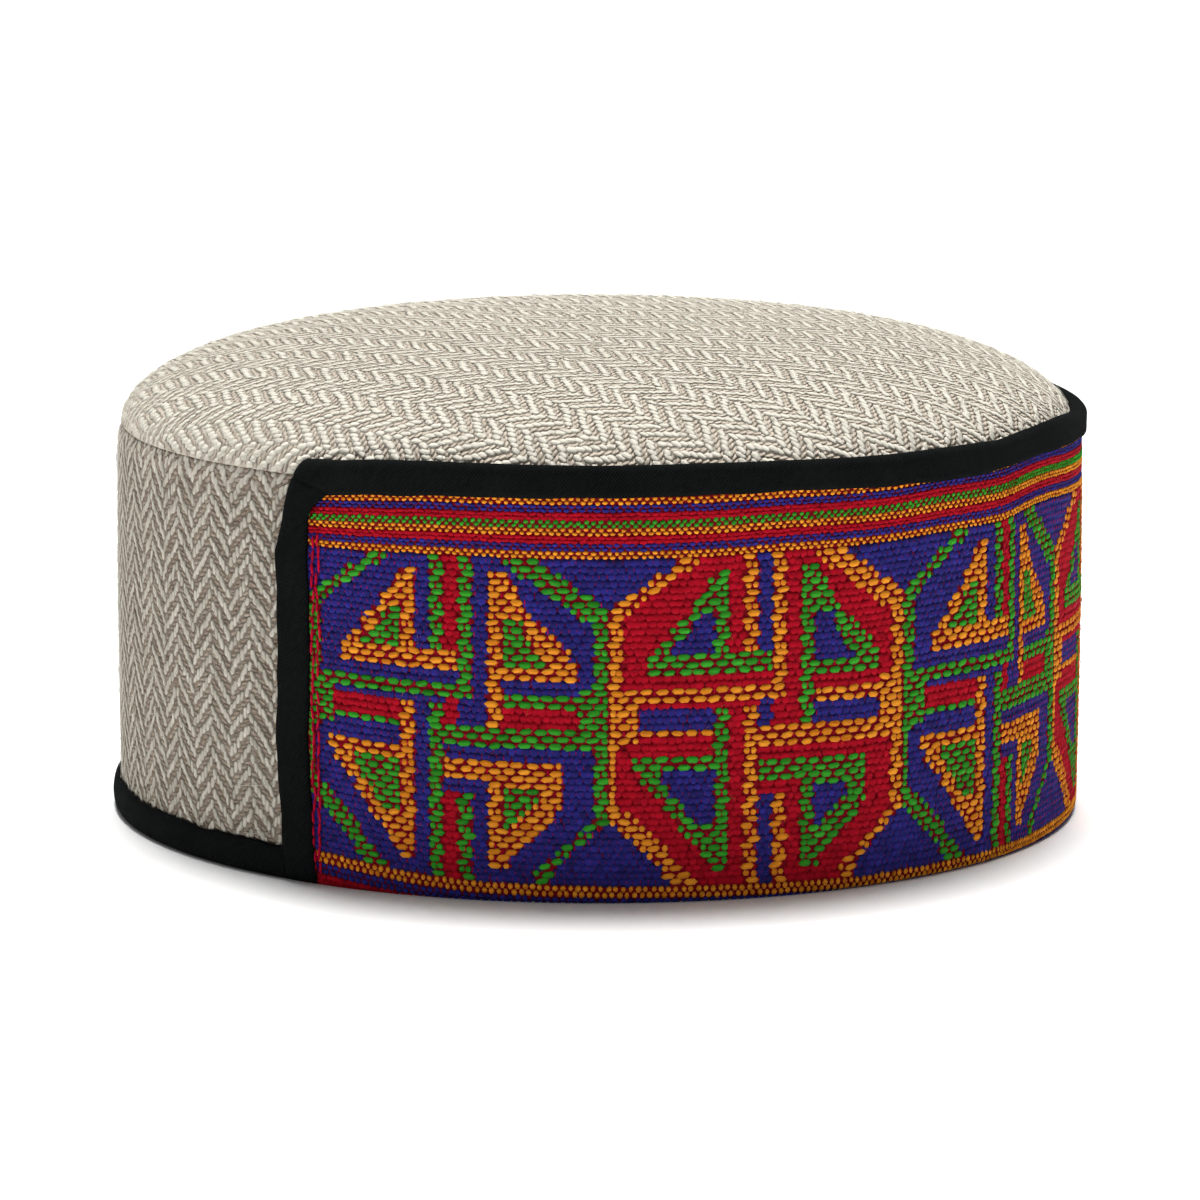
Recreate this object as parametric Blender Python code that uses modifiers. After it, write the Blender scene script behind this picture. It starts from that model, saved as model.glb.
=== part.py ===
# Kullu cap: a round wool cap with a patterned front band and black cotton bindings.
#
# The cap stands on its rim at z = 0 with the middle of its front band towards -Y.
# It is made as the real one is: a wool crown is seamed to a straight wool side wall,
# a woven band is laid over the front half of the wall and turned up inside the rim,
# and black cotton tape is folded over the band's top, its two ends and the rear rim.

import bmesh
import bpy
import math
from mathutils import Matrix, Vector

MM = 0.001

# Cloths
WOOL = 2.0 * MM
BAND_CLOTH = 1.0 * MM
TAPE = 1.0 * MM
GAP = 0.3 * MM

# Side wall, slightly barrelled between rim and seam
WALL_RADIUS = 93.6 * MM
WALL_BARREL = 0.3 * MM
WALL_TOP = 76.0 * MM
WALL_ROWS = 4

# Crown, a low cushion whose rise follows 1 - (r / R) ** 3
CROWN_RADIUS = 92.9 * MM
CROWN_RISE = 19.0 * MM
CROWN_POWER = 3.0
CROWN_ROWS = 13

# Front band
BAND_HALF_ANGLE = math.radians(92.2)
BAND_TOP = 79.5 * MM
BAND_HEM = 7.0 * MM
FOLD_RADIUS = 1.2 * MM
FOLD_STEPS = 3

# Bindings
TOP_TAPE_DROP = 5.6 * MM
TOP_TAPE_INSIDE = 2.0 * MM
END_TAPE_WIDTH = 8.0 * MM
REAR_TAPE_HEIGHT = 6.4 * MM
REAR_TAPE_INSIDE = 5.5 * MM

# Facets round the full circle
TURN_STEPS = 80

# Places worked out from the sizes above
FRONT = -math.pi / 2
RIM_LIFT = BAND_CLOTH + GAP
WALL_INNER = WALL_RADIUS - WOOL
BAND_INNER = WALL_RADIUS + GAP
BAND_OUTER = BAND_INNER + BAND_CLOTH
TOP_TAPE_OUTER = BAND_OUTER + GAP + TAPE
REAR_TAPE_OUTER = WALL_RADIUS + GAP + TAPE
TAPE_TOP = BAND_TOP + GAP + TAPE
SEAM = WALL_TOP + GAP
# The front stands further out than the rear, so the axis moves back to centre the cap
AXIS = Vector((0.0, (TOP_TAPE_OUTER - REAR_TAPE_OUTER) / 2, 0.0))


def barrel(z):
    """How far the side wall swells past its rim radius at height z."""
    return WALL_BARREL * math.sin(math.pi * min(max(z / WALL_TOP, 0.0), 1.0))


def rows(low, high, count):
    """Heights from high down to low, in count equal steps."""
    return [high + (low - high) * i / count for i in range(count + 1)]


def quarter(centre, radius, start):
    """Points of a clockwise quarter turn in the section plane, for a fold in a cloth."""
    turn = math.pi / 2 / FOLD_STEPS
    angles = [start - turn * i for i in range(FOLD_STEPS + 1)]
    return [(centre[0] + radius * math.cos(a), centre[1] + radius * math.sin(a)) for a in angles]


def side_wall_section():
    """The outer face of the wool wall, from the seam down to the rim."""
    return [(WALL_RADIUS + barrel(z), z) for z in rows(RIM_LIFT, WALL_TOP, WALL_ROWS)]


def crown_section():
    """The outer face of the crown, from its middle out and down to the seam."""
    section = []
    for i in range(CROWN_ROWS + 1):
        r = math.sin(math.pi / 2 * i / CROWN_ROWS)
        section.append((CROWN_RADIUS * r, SEAM + CROWN_RISE * math.sqrt(1 - r ** CROWN_POWER)))
    return section


def rim_fold_section(outer, inner, top, hem):
    """A cloth that comes down outside the wall, passes under the rim and goes up inside."""
    face = [(outer + barrel(z), z) for z in rows(FOLD_RADIUS, top, WALL_ROWS)][:-1]
    under = quarter((outer - FOLD_RADIUS, FOLD_RADIUS), FOLD_RADIUS, 0.0)
    inside = quarter((inner + FOLD_RADIUS, FOLD_RADIUS), FOLD_RADIUS, -math.pi / 2)
    return face + under + inside + [(inner, hem)]


def top_fold_section():
    """The tape over the band's top edge, from inside the edge over it and down outside."""
    inner = BAND_INNER - GAP - TAPE
    over = quarter((inner + FOLD_RADIUS, TAPE_TOP - FOLD_RADIUS), FOLD_RADIUS, math.pi)
    outer = quarter((TOP_TAPE_OUTER - FOLD_RADIUS, TAPE_TOP - FOLD_RADIUS), FOLD_RADIUS, math.pi / 2)
    return [(inner, TAPE_TOP - TOP_TAPE_INSIDE)] + over + outer + [(TOP_TAPE_OUTER, TAPE_TOP - TOP_TAPE_DROP)]


def cloth_material(name, colour, roughness):
    material = bpy.data.materials.new(name)
    material.use_nodes = True
    shader = material.node_tree.nodes["Principled BSDF"]
    shader.inputs["Base Color"].default_value = (*colour, 1.0)
    shader.inputs["Roughness"].default_value = roughness
    shader.inputs["Metallic"].default_value = 0.0
    material.diffuse_color = (*colour, 1.0)
    return material


def section_mesh(name, section):
    """The section as a line of edges in the XZ plane."""
    mesh = bpy.data.meshes.new(name)
    shape = bmesh.new()
    points = [shape.verts.new((r, 0.0, z)) for r, z in section]
    for first, second in zip(points, points[1:]):
        shape.edges.new((first, second))
    shape.to_mesh(mesh)
    shape.free()
    return mesh


def add_piece(name, mesh, collection, material):
    mesh.materials.append(material)
    piece = bpy.data.objects.new(name, mesh)
    piece.location = AXIS
    collection.objects.link(piece)
    return piece


def thicken(piece, thickness):
    """Gives the sheet its thickness on the side away from its face."""
    solidify = piece.modifiers.new("thickness", "SOLIDIFY")
    solidify.thickness = thickness
    solidify.offset = -1.0
    solidify.use_even_offset = True


def turned_cloth(name, section, thickness, start, end, collection, material):
    """A sheet of cloth turned round the cap's axis from the angle start to the angle end."""
    piece = add_piece(name, section_mesh(name, section), collection, material)
    piece.rotation_euler.z = start
    screw = piece.modifiers.new("turn", "SCREW")
    screw.angle = end - start
    screw.steps = round(TURN_STEPS * (end - start) / math.tau)
    screw.render_steps = screw.steps
    screw.use_merge_vertices = True
    screw.merge_threshold = 0.01 * MM
    screw.use_smooth_shade = True
    thicken(piece, thickness)
    return piece


def end_tape(name, side, collection, material):
    """The upright tape at one end of the band, lying on the band and turned in to the wall."""
    end = FRONT + side * BAND_HALF_ANGLE
    turn_in = (GAP + TAPE) / BAND_OUTER
    start = end - side * (END_TAPE_WIDTH / BAND_OUTER - turn_in)
    edge = end + side * turn_in
    shape = bmesh.new()
    heights = rows(0.0, TAPE_TOP - TOP_TAPE_DROP - GAP, WALL_ROWS)
    points = [shape.verts.new((TOP_TAPE_OUTER + barrel(z), 0.0, z)) for z in heights]
    face = [shape.edges.new(pair) for pair in zip(points, points[1:])]
    bmesh.ops.rotate(shape, verts=points, cent=(0, 0, 0), matrix=Matrix.Rotation(start, 3, "Z"))
    swept = bmesh.ops.spin(
        shape, geom=points + face, cent=(0, 0, 0), axis=(0, 0, 1), angle=edge - start, steps=3
    )
    last = [item for item in swept["geom_last"] if isinstance(item, bmesh.types.BMEdge)]
    turned = bmesh.ops.extrude_edge_only(shape, edges=last)["geom"]
    corners = [item for item in turned if isinstance(item, bmesh.types.BMVert)]
    inward = Vector((math.cos(edge), math.sin(edge), 0.0)) * (BAND_INNER - TOP_TAPE_OUTER)
    bmesh.ops.translate(shape, verts=corners, vec=inward)
    bmesh.ops.recalc_face_normals(shape, faces=shape.faces)
    outward = Vector((math.cos(start), math.sin(start), 0.0))
    shape.faces.ensure_lookup_table()
    if shape.faces[0].normal.dot(outward) < 0:
        bmesh.ops.reverse_faces(shape, faces=shape.faces)
    mesh = bpy.data.meshes.new(name)
    shape.to_mesh(mesh)
    shape.free()
    thicken(add_piece(name, mesh, collection, material), TAPE)


def clear_scene():
    for old in list(bpy.data.objects):
        bpy.data.objects.remove(old, do_unlink=True)


def main():
    clear_scene()
    cap = bpy.data.collections.new("kullu_cap")
    bpy.context.scene.collection.children.link(cap)

    wall_wool = cloth_material("wall_wool", (0.40, 0.35, 0.28), 0.95)
    crown_wool = cloth_material("crown_wool", (0.66, 0.60, 0.51), 0.95)
    band_cloth = cloth_material("band_cloth", (0.42, 0.02, 0.03), 0.80)
    top_tape = cloth_material("top_tape", (0.010, 0.011, 0.012), 0.75)
    left_tape = cloth_material("left_tape", (0.010, 0.011, 0.012), 0.75)
    right_tape = cloth_material("right_tape", (0.010, 0.011, 0.012), 0.75)
    rear_tape = cloth_material("rear_tape", (0.012, 0.012, 0.012), 0.75)

    band_start = FRONT - BAND_HALF_ANGLE
    band_end = FRONT + BAND_HALF_ANGLE
    turned_cloth("side_wall", side_wall_section(), WOOL, FRONT, FRONT + math.tau, cap, wall_wool)
    turned_cloth("crown", crown_section(), WOOL, FRONT, FRONT + math.tau, cap, crown_wool)

    band_section = rim_fold_section(BAND_OUTER, WALL_INNER - GAP - BAND_CLOTH, BAND_TOP, BAND_HEM)
    turned_cloth("front_band", band_section, BAND_CLOTH, band_start, band_end, cap, band_cloth)

    # The top tape reaches past the band over both end tapes
    past = (GAP + TAPE) / BAND_OUTER
    turned_cloth("band_top_binding", top_fold_section(), TAPE, band_start - past, band_end + past, cap, top_tape)
    end_tape("band_end_binding_left", -1, cap, left_tape)
    end_tape("band_end_binding_right", 1, cap, right_tape)

    # The rear tape fills the rim between the two end tapes
    clear = past + GAP / BAND_OUTER
    rear_section = rim_fold_section(
        REAR_TAPE_OUTER, WALL_INNER - GAP - TAPE, REAR_TAPE_HEIGHT, REAR_TAPE_INSIDE
    )
    turned_cloth("rim_binding", rear_section, TAPE, band_end + clear, band_start - clear + math.tau, cap, rear_tape)


main()
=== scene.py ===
import math

import bpy
import numpy as np
from mathutils import Matrix, Vector


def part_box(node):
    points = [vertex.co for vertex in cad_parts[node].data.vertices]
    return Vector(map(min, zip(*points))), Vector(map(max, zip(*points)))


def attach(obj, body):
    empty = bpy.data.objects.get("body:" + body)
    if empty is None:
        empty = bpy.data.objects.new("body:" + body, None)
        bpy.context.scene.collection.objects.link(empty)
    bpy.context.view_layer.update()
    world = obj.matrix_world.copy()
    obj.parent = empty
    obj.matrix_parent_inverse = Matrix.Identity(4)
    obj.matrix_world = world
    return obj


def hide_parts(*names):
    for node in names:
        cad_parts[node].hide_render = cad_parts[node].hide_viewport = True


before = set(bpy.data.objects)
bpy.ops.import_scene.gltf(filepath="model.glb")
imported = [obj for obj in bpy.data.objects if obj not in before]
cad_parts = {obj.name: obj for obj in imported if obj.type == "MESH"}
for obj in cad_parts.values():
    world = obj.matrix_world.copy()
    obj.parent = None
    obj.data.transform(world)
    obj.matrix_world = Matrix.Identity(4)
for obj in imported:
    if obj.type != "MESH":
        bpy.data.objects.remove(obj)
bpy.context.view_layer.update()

MM = 0.001
FULL_TURN = 2 * math.pi
draw = np.random.default_rng(1907)

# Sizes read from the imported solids. The wall and the band are at their widest at half height.
wall_low, wall_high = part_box("side_wall")
crown_low, crown_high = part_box("crown")
band_low, band_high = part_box("front_band")
tape_low, tape_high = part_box("band_top_binding")
rear_low, rear_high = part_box("rim_binding")

AXIS = ((wall_low.x + wall_high.x) / 2, (wall_low.y + wall_high.y) / 2)
BARREL = 0.3 * MM
WALL_RADIUS = (wall_high.x - wall_low.x) / 2 - BARREL
WALL_TOP = wall_high.z
CROWN_RADIUS = (crown_high.x - crown_low.x) / 2
CROWN_TOP = crown_high.z
BAND_RADIUS = (band_high.x - band_low.x) / 2 - BARREL
BAND_TOP = band_high.z
TAPE_RADIUS = (tape_high.x - tape_low.x) / 2 - BARREL / 2
TAPE_TOP = tape_high.z
TAPE_FOOT = tape_low.z
REAR_TAPE_TOP = rear_high.z
WOOL = 2.0 * MM
BAND_CLOTH = 1.0 * MM
FOLD = 1.2 * MM
BAND_HALF_ANGLE = math.radians(92.2)
BAND_HALF_LENGTH = BAND_HALF_ANGLE * BAND_RADIUS
END_TAPE_WIDTH = 8.9 * MM
END_TAPE_INSIDE = BAND_HALF_LENGTH + 1.1 * MM - END_TAPE_WIDTH

# Herringbone wool: ends run up the cloth, picks across it
END_PITCH = 0.942 * MM
PICK_PITCH = 1.0 * MM
ENDS_A_STRIPE = 6

# Woven band: the field of medallions and the striped borders, as heights on the band
MEDALLION = 58.0 * MM
STITCHES_A_MEDALLION = 21
STITCH_PITCH = MEDALLION / STITCHES_A_MEDALLION
FIELD_TOP = 63.7 * MM
FIELD_FOOT = 3.5 * MM
FIELD_ROWS = 48
ROW_PITCH = (FIELD_TOP - FIELD_FOOT) / FIELD_ROWS
UNIT = MEDALLION / 40
UNIT_UP = (FIELD_TOP - FIELD_FOOT) / 40

# How far the sewn band rides up or sags, in millimetres, by length from its left end.
# from_end, tape_top, tape_foot, stripes, field_top, foot, gathered
BAND_EASE = (
    (0.0, -3.6, -3.0, -2.4, -0.1, 3.8, 0.0),
    (5.5, -2.2, -2.4, -2.0, -0.1, 3.5, 0.0),
    (11.5, -1.2, -1.9, -1.5, -0.1, 3.2, 0.0),
    (21.5, -0.3, -1.2, -0.8, 0.0, 2.0, 0.0),
    (31.5, 0.1, -0.6, -0.2, 0.2, 1.0, 0.0),
    (41.5, 0.1, -0.45, -0.1, 0.2, 0.4, 0.0),
    (63.5, 0.0, -0.2, 0.0, 0.0, 0.0, 0.0),
    (83.5, 0.2, 0.05, 0.1, 0.2, -0.25, 0.0),
    (98.5, 0.1, 0.2, 0.4, 0.7, -0.6, 0.0),
    (113.5, -0.25, -0.3, 0.2, 0.6, -1.1, 0.0),
    (122.0, -0.35, -0.6, 0.25, 0.75, -1.0, 0.0),
    (133.5, -0.3, -0.7, 0.9, 1.15, -1.0, 0.0),
    (141.6, -0.4, -0.9, 0.85, 1.15, -1.0, -0.2),
    (146.2, -0.5, -0.7, 0.8, 1.1, -1.0, -0.3),
    (151.0, -0.7, -0.4, 0.85, 1.2, -0.9, 0.0),
    (156.4, -0.2, 0.1, 1.15, 1.6, -0.9, 1.2),
    (162.3, 0.1, 0.25, 1.5, 2.2, -0.8, 3.4),
    (169.3, 0.35, 0.3, 1.75, 2.6, -0.8, 6.0),
    (178.0, 0.4, 0.2, 1.8, 2.7, -0.5, 8.0),
    (190.0, -0.3, -0.2, 1.2, 2.0, -0.3, 8.6),
    (212.0, -1.4, -1.0, 0.3, 0.7, 0.0, 7.0),
    (232.0, -1.4, -1.4, -0.2, 0.0, 0.0, 4.0),
    (264.0, -1.0, -1.3, -0.4, 0.0, 0.4, 0.0),
    (284.0, -0.9, -1.4, -0.8, 0.0, 2.0, 0.0),
    (294.0, -1.4, -1.9, -1.5, -0.1, 3.2, 0.0),
    (300.0, -2.3, -2.4, -2.0, -0.1, 3.5, 0.0),
    (305.5, -3.6, -3.0, -2.4, -0.1, 3.8, 0.0),
)


# Places on the cap

def around(angle, radius, height):
    """Points at an angle from the band's middle, which faces -Y, positive towards +X."""
    x = AXIS[0] + radius * np.sin(angle)
    y = AXIS[1] - radius * np.cos(angle)
    return np.stack(np.broadcast_arrays(x, y, height), axis=-1)


def barrel(height):
    return BARREL * np.sin(np.pi * np.clip(height / WALL_TOP, 0, 1))


class Section:
    """The line of a cloth's face in an upright plane through the axis, top to bottom."""

    def __init__(self, points, steps=400):
        points = np.array(points, float)
        rough = np.concatenate([[0], np.cumsum(np.hypot(*np.diff(points, axis=0).T))])
        even = np.linspace(0, rough[-1], steps)
        self.radius = np.interp(even, rough, points[:, 0])
        self.height = np.interp(even, rough, points[:, 1])
        self.down = even
        self.length = even[-1]
        slope = np.hypot(np.gradient(self.radius), np.gradient(self.height))
        self.out_radius = -np.gradient(self.height) / slope
        self.out_height = np.gradient(self.radius) / slope

    def place(self, angle, down, out=0.0):
        """Points a length down the section and a distance out from its face."""
        radius = np.interp(down, self.down, self.radius)
        height = np.interp(down, self.down, self.height)
        radius = radius + out * np.interp(down, self.down, self.out_radius)
        height = height + out * np.interp(down, self.down, self.out_height)
        return around(angle, radius, height)


def arc(centre, radius, start, end, steps=8):
    """Points of an arc in the section plane, angles in degrees from straight out."""
    turn = np.radians(np.linspace(start, end, steps))
    return [(centre[0] + radius * math.cos(a), centre[1] + radius * math.sin(a)) for a in turn]


def turned_up(outer, inner, top, hem):
    """The section of a cloth that comes down outside the wall and turns up inside the rim."""
    heights = np.linspace(top, FOLD, 24)
    face = [(outer + barrel(z), z) for z in heights]
    under = arc((outer - FOLD, FOLD), FOLD, 0, -90)
    inside = arc((inner + FOLD, FOLD), FOLD, -90, -180)
    return face + under + inside + [(inner, hem)]


def crown_points():
    """The crown rises as a low cushion: full at its shoulder and nearly flat in its middle."""
    turns = np.linspace(0, 90, 60)
    share = np.sin(np.radians(turns))
    rise = CROWN_TOP - WALL_TOP
    return [(CROWN_RADIUS * s, WALL_TOP + rise * math.sqrt(max(1 - s ** 3, 0))) for s in share]


def wall_points():
    """The wall's upper edge rolls in to the crown seam."""
    heights = np.linspace(WALL_TOP, 1.4 * MM, 60)
    roll = 0.9 * MM * np.exp(-((WALL_TOP - heights) / (1.6 * MM)) ** 2)
    return [(WALL_RADIUS + barrel(z) - r, z) for z, r in zip(heights, roll)]


WALL_INNER = WALL_RADIUS - WOOL
wall_section = Section(wall_points())
crown_section = Section(crown_points())
band_section = Section(turned_up(BAND_RADIUS, WALL_INNER - 1.3 * MM, BAND_TOP, 7.0 * MM))
rear_section = Section(turned_up(WALL_RADIUS + 1.3 * MM, WALL_INNER - 1.3 * MM, REAR_TAPE_TOP, 5.5 * MM))


def on_wall(across, up, out=0.0):
    return wall_section.place(across / WALL_RADIUS, WALL_TOP - up, out)


def on_crown(across, along, out=0.0):
    """Flat crown cloth eased in to the round, with its ends running from front to back."""
    return crown_section.place(np.arctan2(across, -along), np.hypot(across, along), out)


def ease(across, column):
    """How far one level of the band rides up at a length from its middle."""
    table = np.array(BAND_EASE) * MM
    return np.interp(across + BAND_HALF_LENGTH, table[:, 0], table[:, column])


def on_band(across, up, out=0.0):
    """A place on the band's face, with the ease of its cloth between foot, field and stripes."""
    field = np.clip((up - 2.2 * MM) / (FIELD_TOP - 2.2 * MM), 0, 1)
    stripes = np.clip((up - FIELD_TOP) / (11 * MM), 0, 1)
    moved = ease(across, 5) * (1 - field) + ease(across, 4) * field * (1 - stripes) + ease(across, 3) * stripes
    return band_section.place((across - ease(across, 6)) / BAND_RADIUS, BAND_TOP - up - moved, out)


# Materials

def colour(code):
    """A six-figure sRGB hex colour as linear RGBA."""
    parts = [int(code[i:i + 2], 16) / 255 for i in (0, 2, 4)]
    linear = [p / 12.92 if p <= 0.04045 else ((p + 0.055) / 1.055) ** 2.4 for p in parts]
    return (*linear, 1.0)


def add(tree, kind, inputs=None, **settings):
    """Adds a node. An input is given a value, or the output socket that feeds it."""
    node = tree.nodes.new(kind)
    for name, value in settings.items():
        setattr(node, name, value)
    for name, value in (inputs or {}).items():
        if isinstance(value, bpy.types.NodeSocket):
            tree.links.new(value, node.inputs[name])
        else:
            node.inputs[name].default_value = value
    return node


def new_material(name, roughness, sheen=0.0, gloss=0.08):
    material = bpy.data.materials.new(name)
    material.use_nodes = True
    tree = material.node_tree
    shader = tree.nodes["Principled BSDF"]
    shader.inputs["Roughness"].default_value = roughness
    shader.inputs["Sheen Weight"].default_value = sheen
    shader.inputs["Sheen Roughness"].default_value = 0.45
    shader.inputs["Specular IOR Level"].default_value = gloss
    return material, tree, shader


def yarn_material(name, dark, light, fibre, roughness, sheen, relief, patchy=0.0):
    """Spun yarn: streaks along the yarn as long and as wide as fibre says, in millimetres.

    Each float carries its own tone, which sets how dark or light it lies in the cloth.
    """
    material, tree, shader = new_material(name, roughness, sheen)
    place = add(tree, "ShaderNodeUVMap", uv_map="yarn").outputs["UV"]
    scale = (1 / fibre[0], 1 / fibre[1], 1.0)
    streaks = add(tree, "ShaderNodeMapping", {"Vector": place, "Scale": scale})
    noise = add(tree, "ShaderNodeTexNoise", {"Vector": streaks.outputs["Vector"], "Scale": 1.0, "Detail": 3.0})
    tone = add(tree, "ShaderNodeAttribute", attribute_name="tone").outputs["Fac"]
    spot = add(tree, "ShaderNodeTexCoord").outputs["Object"]
    cloud = add(tree, "ShaderNodeTexNoise", {"Vector": spot, "Scale": 160.0, "Detail": 2.0})
    half = add(tree, "ShaderNodeMath", {0: noise.outputs["Fac"], 1: 0.9, 2: tone}, operation="MULTIPLY_ADD")
    full = add(tree, "ShaderNodeMath", {0: cloud.outputs["Fac"], 1: patchy, 2: half.outputs[0]}, operation="MULTIPLY_ADD")
    level = add(tree, "ShaderNodeMath", {0: full.outputs[0], 1: 0.45 + patchy / 2}, operation="SUBTRACT", use_clamp=True)
    mix = add(tree, "ShaderNodeMix", {"Factor": level.outputs[0], "A": colour(dark), "B": colour(light)}, data_type="RGBA")
    tree.links.new(mix.outputs["Result"], shader.inputs["Base Color"])
    bump = add(tree, "ShaderNodeBump", {"Height": noise.outputs["Fac"], "Strength": 0.6, "Distance": relief * MM})
    tree.links.new(bump.outputs["Normal"], shader.inputs["Normal"])
    return material


def ground_material(name, dark, light, grain, roughness, sheen=0.0):
    """The closed ground of a woven cloth, mottled at the size of its threads in millimetres."""
    material, tree, shader = new_material(name, roughness, sheen)
    spot = add(tree, "ShaderNodeTexCoord").outputs["Object"]
    noise = add(tree, "ShaderNodeTexNoise", {"Vector": spot, "Scale": 1 / (grain * MM), "Detail": 3.0})
    mix = add(tree, "ShaderNodeMix", {"Factor": noise.outputs["Fac"], "A": colour(dark), "B": colour(light)}, data_type="RGBA")
    tree.links.new(mix.outputs["Result"], shader.inputs["Base Color"])
    bump = add(tree, "ShaderNodeBump", {"Height": noise.outputs["Fac"], "Strength": 0.8, "Distance": 0.25 * MM})
    tree.links.new(bump.outputs["Normal"], shader.inputs["Normal"])
    return material


def tape_material():
    """Black cotton twill tape: steep fine lines 0.45 mm apart, faint lint and rubbed patches."""
    material, tree, shader = new_material("black_cotton_twill_tape", 1.0, 0.0, 0.02)
    place = add(tree, "ShaderNodeUVMap", uv_map="yarn").outputs["UV"]
    turned = add(tree, "ShaderNodeMapping", {"Vector": place, "Rotation": (0.0, 0.0, math.radians(40))})
    lines = add(
        tree, "ShaderNodeTexWave",
        {"Vector": turned.outputs["Vector"], "Scale": 0.7, "Distortion": 1.0, "Detail": 1.0, "Detail Scale": 2.0},
        bands_direction="X",
    )
    spot = add(tree, "ShaderNodeTexCoord").outputs["Object"]
    lint = add(tree, "ShaderNodeTexNoise", {"Vector": spot, "Scale": 900.0, "Detail": 4.0})
    patch = add(tree, "ShaderNodeTexNoise", {"Vector": spot, "Scale": 70.0, "Detail": 3.0})
    both = add(tree, "ShaderNodeMath", {0: lint.outputs["Fac"], 1: patch.outputs["Fac"]}, operation="MULTIPLY")
    level = add(tree, "ShaderNodeMath", {0: lines.outputs["Fac"], 1: 0.65, 2: both.outputs[0]}, operation="MULTIPLY_ADD")
    mix = add(tree, "ShaderNodeMix", {"Factor": level.outputs[0], "A": colour("040505"), "B": colour("1a1c1c")}, data_type="RGBA")
    tree.links.new(mix.outputs["Result"], shader.inputs["Base Color"])
    bump = add(tree, "ShaderNodeBump", {"Height": level.outputs[0], "Strength": 0.8, "Distance": 0.15 * MM})
    tree.links.new(bump.outputs["Normal"], shader.inputs["Normal"])
    return material


# Cloth sheets

def cloth_sheet(name, across, up, place, size, thickness, material, merge=True):
    """A grid primitive shaped by place(u, v), each 0 to 1, to a sheet of the size (width, length).

    u runs to +X round the front and v upwards, so that the sheet faces out.
    """
    bpy.ops.object.select_all(action="DESELECT")
    bpy.ops.mesh.primitive_grid_add(x_subdivisions=across, y_subdivisions=up, size=1.0)
    piece = bpy.context.object
    piece.name = name
    mesh = piece.data
    mesh.name = name
    flat = np.empty(len(mesh.vertices) * 3)
    mesh.vertices.foreach_get("co", flat)
    u, v = flat.reshape(-1, 3)[:, 0] + 0.5, flat.reshape(-1, 3)[:, 1] + 0.5
    mesh.vertices.foreach_set("co", place(u, v).ravel())
    layer = mesh.uv_layers[0]
    layer.name = "yarn"
    corners = np.empty(len(mesh.loops), np.int32)
    mesh.loops.foreach_get("vertex_index", corners)
    in_mm = np.stack([u * size[0], v * size[1]], axis=-1)[corners] / MM
    layer.uv.foreach_set("vector", in_mm.ravel())
    if merge:
        bpy.ops.object.mode_set(mode="EDIT")
        bpy.ops.mesh.select_all(action="SELECT")
        bpy.ops.mesh.remove_doubles(threshold=0.002 * MM)
        bpy.ops.object.mode_set(mode="OBJECT")
    solidify = piece.modifiers.new("thickness", "SOLIDIFY")
    solidify.thickness = thickness
    solidify.offset = -1.0
    bpy.ops.object.modifier_apply(modifier=solidify.name)
    mesh.materials.append(material)
    bpy.ops.object.shade_smooth()
    return piece


def full_cloth(name, section, thickness, material, steps=120, rows=24):
    """A cloth turned all the way round the cap."""
    def place(u, v):
        return section.place(u * FULL_TURN, (1 - v) * section.length)
    size = (FULL_TURN * WALL_RADIUS, section.length)
    return cloth_sheet(name, steps, rows, place, size, thickness, material)


# Yarn floats

def make_grain(segments, rings, fullness):
    """A closed float about one unit each way from its middle, as (along, across, up) and triangles."""
    bpy.ops.object.select_all(action="DESELECT")
    bpy.ops.mesh.primitive_uv_sphere_add(segments=segments, ring_count=rings, radius=1.0)
    ball = bpy.context.object
    bpy.ops.object.mode_set(mode="EDIT")
    bpy.ops.mesh.select_all(action="SELECT")
    bpy.ops.mesh.quads_convert_to_tris()
    bpy.ops.object.mode_set(mode="OBJECT")
    points = np.array([v.co for v in ball.data.vertices])
    faces = np.array([f.vertices for f in ball.data.polygons], np.int32)
    bpy.data.objects.remove(ball)
    along = points[:, 2]
    narrow = np.sqrt(np.clip(1 - along ** 2, 1e-9, 1))
    full = np.clip(1 - np.abs(along) ** fullness, 0, 1) ** (1 / fullness)
    return np.stack([along, -points[:, 1] / narrow * full, points[:, 0] / narrow * full], axis=1), faces


def make_needle(rings, sides=3):
    """A hair about its own line: (share of its length, across, up) and triangles."""
    bpy.ops.object.select_all(action="DESELECT")
    bpy.ops.mesh.primitive_uv_sphere_add(segments=sides, ring_count=rings + 1, radius=1.0)
    ball = bpy.context.object
    bpy.ops.object.mode_set(mode="EDIT")
    bpy.ops.mesh.select_all(action="SELECT")
    bpy.ops.mesh.quads_convert_to_tris()
    bpy.ops.object.mode_set(mode="OBJECT")
    points = np.array([v.co for v in ball.data.vertices])
    faces = np.array([f.vertices for f in ball.data.polygons], np.int32)
    bpy.data.objects.remove(ball)
    return np.stack([(points[:, 2] + 1) / 2, points[:, 0], points[:, 1]], axis=1), faces


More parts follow.
